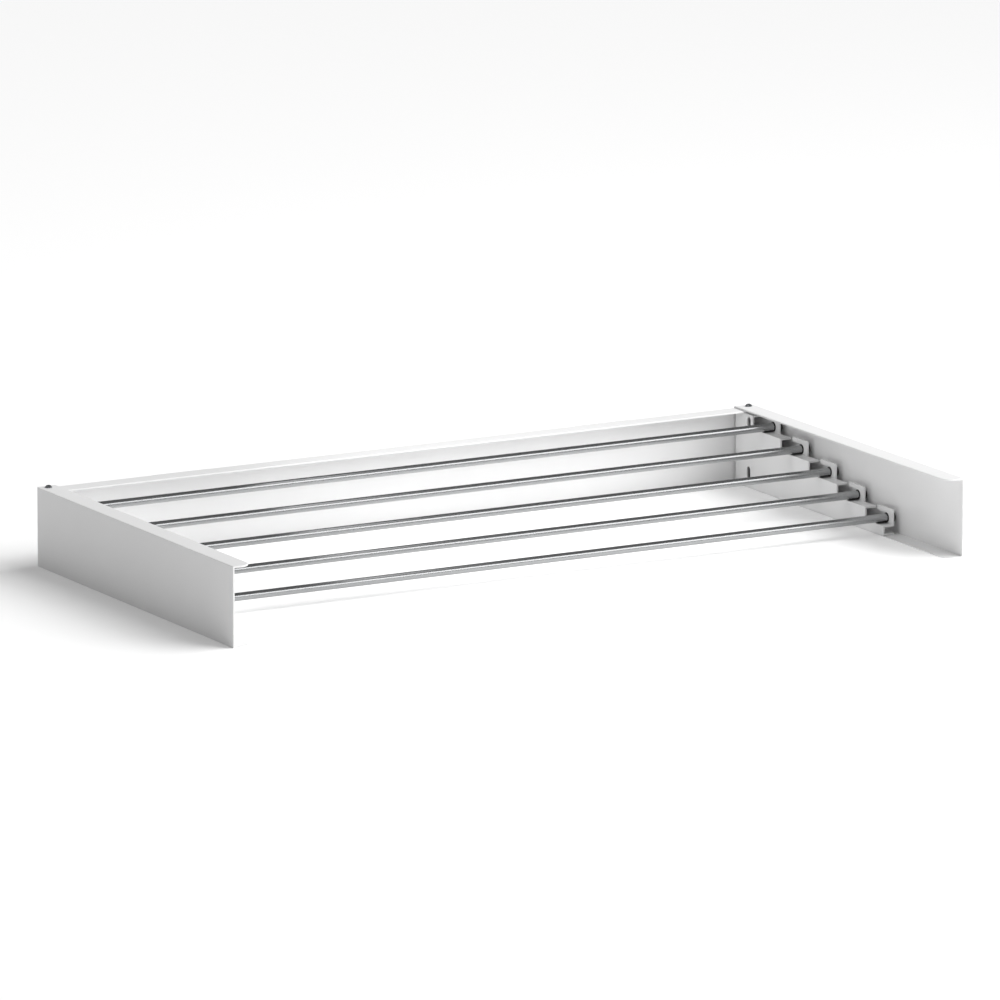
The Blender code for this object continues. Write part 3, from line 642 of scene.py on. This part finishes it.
class RACK_OT_stage(Operator):
    """Make the pale floor, the soft light and the camera"""
    bl_idname = "rack.stage"
    bl_label = "Make stage"

    def execute(self, context):
        studio = context.scene.rack_studio
        self.add_floor(studio)
        self.add_air(context, studio)
        self.add_lights(context, studio)
        self.add_camera(context, studio)
        context.scene.view_settings.view_transform = "Standard"
        return {"FINISHED"}

    def add_floor(self, studio):
        """A wide sheet of matt white paper that glows a little."""
        bpy.ops.object.select_all(action="DESELECT")
        bpy.ops.mesh.primitive_plane_add(size=FLOOR_SIZE, location=(0.0, 0.0, FLOOR_HEIGHT))
        floor = bpy.context.object
        floor.name = "studio_floor"
        made, tree, shader = new_material("matt_white_paper")
        shader.inputs["Base Color"].default_value = (*linear("#FAFAFA"), 1.0)
        shader.inputs["Roughness"].default_value = FLOOR_ROUGHNESS
        shader.inputs["Emission Color"].default_value = (1.0, 1.0, 1.0, 1.0)
        shader.inputs["Emission Strength"].default_value = studio.floor_glow
        floor.data.materials.append(made)

    def add_air(self, context, studio):
        """Even white light from all round."""
        world = bpy.data.worlds.new("studio_air")
        world.use_nodes = True
        context.scene.world = world
        tree = world.node_tree
        tree.nodes.clear()
        glow = add_node(tree, "ShaderNodeBackground",
                        {"Color": (1.0, 1.0, 1.0, 1.0), "Strength": studio.ambient})
        add_node(tree, "ShaderNodeOutputWorld", links={"Surface": (glow, "Background")})

    def add_lights(self, context, studio):
        """A wide ceiling light and three softboxes."""
        ceiling = bpy.data.lights.new("ceiling_light", "SUN")
        ceiling.energy = studio.ceiling
        ceiling.angle = CEILING_ANGLE
        lamp = bpy.data.objects.new("ceiling_light", ceiling)
        context.scene.collection.objects.link(lamp)
        lamp.rotation_euler = Vector(CEILING_DIRECTION).to_track_quat("Z", "Y").to_euler()
        right = add_softbox("right_softbox", studio.key, RIGHT_SIZE, RIGHT_PLACE, RIGHT_AIM)
        # The rods don't mirror these two, so the front and inner softboxes make their
        # highlights.
        lamp.visible_glossy = False
        right.visible_glossy = False
        add_softbox("front_fill", studio.fill, FRONT_SIZE, FRONT_PLACE, FRONT_AIM)
        add_softbox("inner_fill", studio.inner, INNER_SIZE, INNER_PLACE, INNER_AIM)

    def add_camera(self, context, studio):
        """A long lens on the left in front, a little above the rack."""
        data = bpy.data.cameras.new("studio_camera")
        data.sensor_width = SENSOR_WIDTH_MM
        data.lens = studio.lens
        data.clip_end = CLIP_END
        camera = bpy.data.objects.new("studio_camera", data)
        context.scene.collection.objects.link(camera)
        ahead = Vector((math.sin(studio.azimuth) * math.cos(studio.elevation),
                        math.cos(studio.azimuth) * math.cos(studio.elevation),
                        -math.sin(studio.elevation)))
        rail_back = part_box("rear_rail")[1].y
        aim = Vector((AIM_RIGHT, rail_back - AIM_FORWARD, AIM_HEIGHT))
        level = ahead.to_track_quat("-Z", "Y").to_matrix().to_4x4()
        place = Matrix.Translation(aim - ahead * studio.distance)
        camera.matrix_world = place @ level @ Matrix.Rotation(studio.roll, 4, "Z")
        context.scene.camera = camera


class RACK_PT_parts(Panel):
    """Lists the rack's operators and settings"""
    bl_idname = "RACK_PT_parts"
    bl_label = "Drying rack"
    bl_space_type = "VIEW_3D"
    bl_region_type = "UI"
    bl_category = "Drying Rack"

    def draw(self, context):
        scene = context.scene
        for settings in (scene.rack_finish, scene.rack_detail, scene.rack_studio):
            box = self.layout.box()
            for name in settings.bl_rna.properties.keys():
                if name not in ("rna_type", "name"):
                    box.prop(settings, name)
        for operator in OPERATORS:
            self.layout.operator(operator.bl_idname)


SETTINGS = {
    "rack_finish": RackFinishSettings,
    "rack_detail": RackDetailSettings,
    "rack_studio": RackStudioSettings,
}
OPERATORS = (
    RACK_OT_sheet_metal, RACK_OT_drying_rods, RACK_OT_rod_plugs, RACK_OT_rod_clips,
    RACK_OT_corner_screws, RACK_OT_fasteners, RACK_OT_hinges, RACK_OT_bumpers,
    RACK_OT_stage,
)
CLASSES = (*SETTINGS.values(), *OPERATORS, RACK_PT_parts)


def register():
    for item in CLASSES:
        bpy.utils.register_class(item)
    for name, settings in SETTINGS.items():
        setattr(bpy.types.Scene, name, PointerProperty(type=settings))


def unregister():
    for name in SETTINGS:
        delattr(bpy.types.Scene, name)
    for item in reversed(CLASSES):
        bpy.utils.unregister_class(item)


def main():
    register()
    bpy.ops.rack.stage()
    bpy.ops.rack.sheet_metal()
    bpy.ops.rack.drying_rods()
    bpy.ops.rack.rod_plugs()
    bpy.ops.rack.rod_clips()
    bpy.ops.rack.corner_screws()
    bpy.ops.rack.fasteners()
    bpy.ops.rack.hinges()
    bpy.ops.rack.bumpers()


if __name__ == "__main__":
    main()
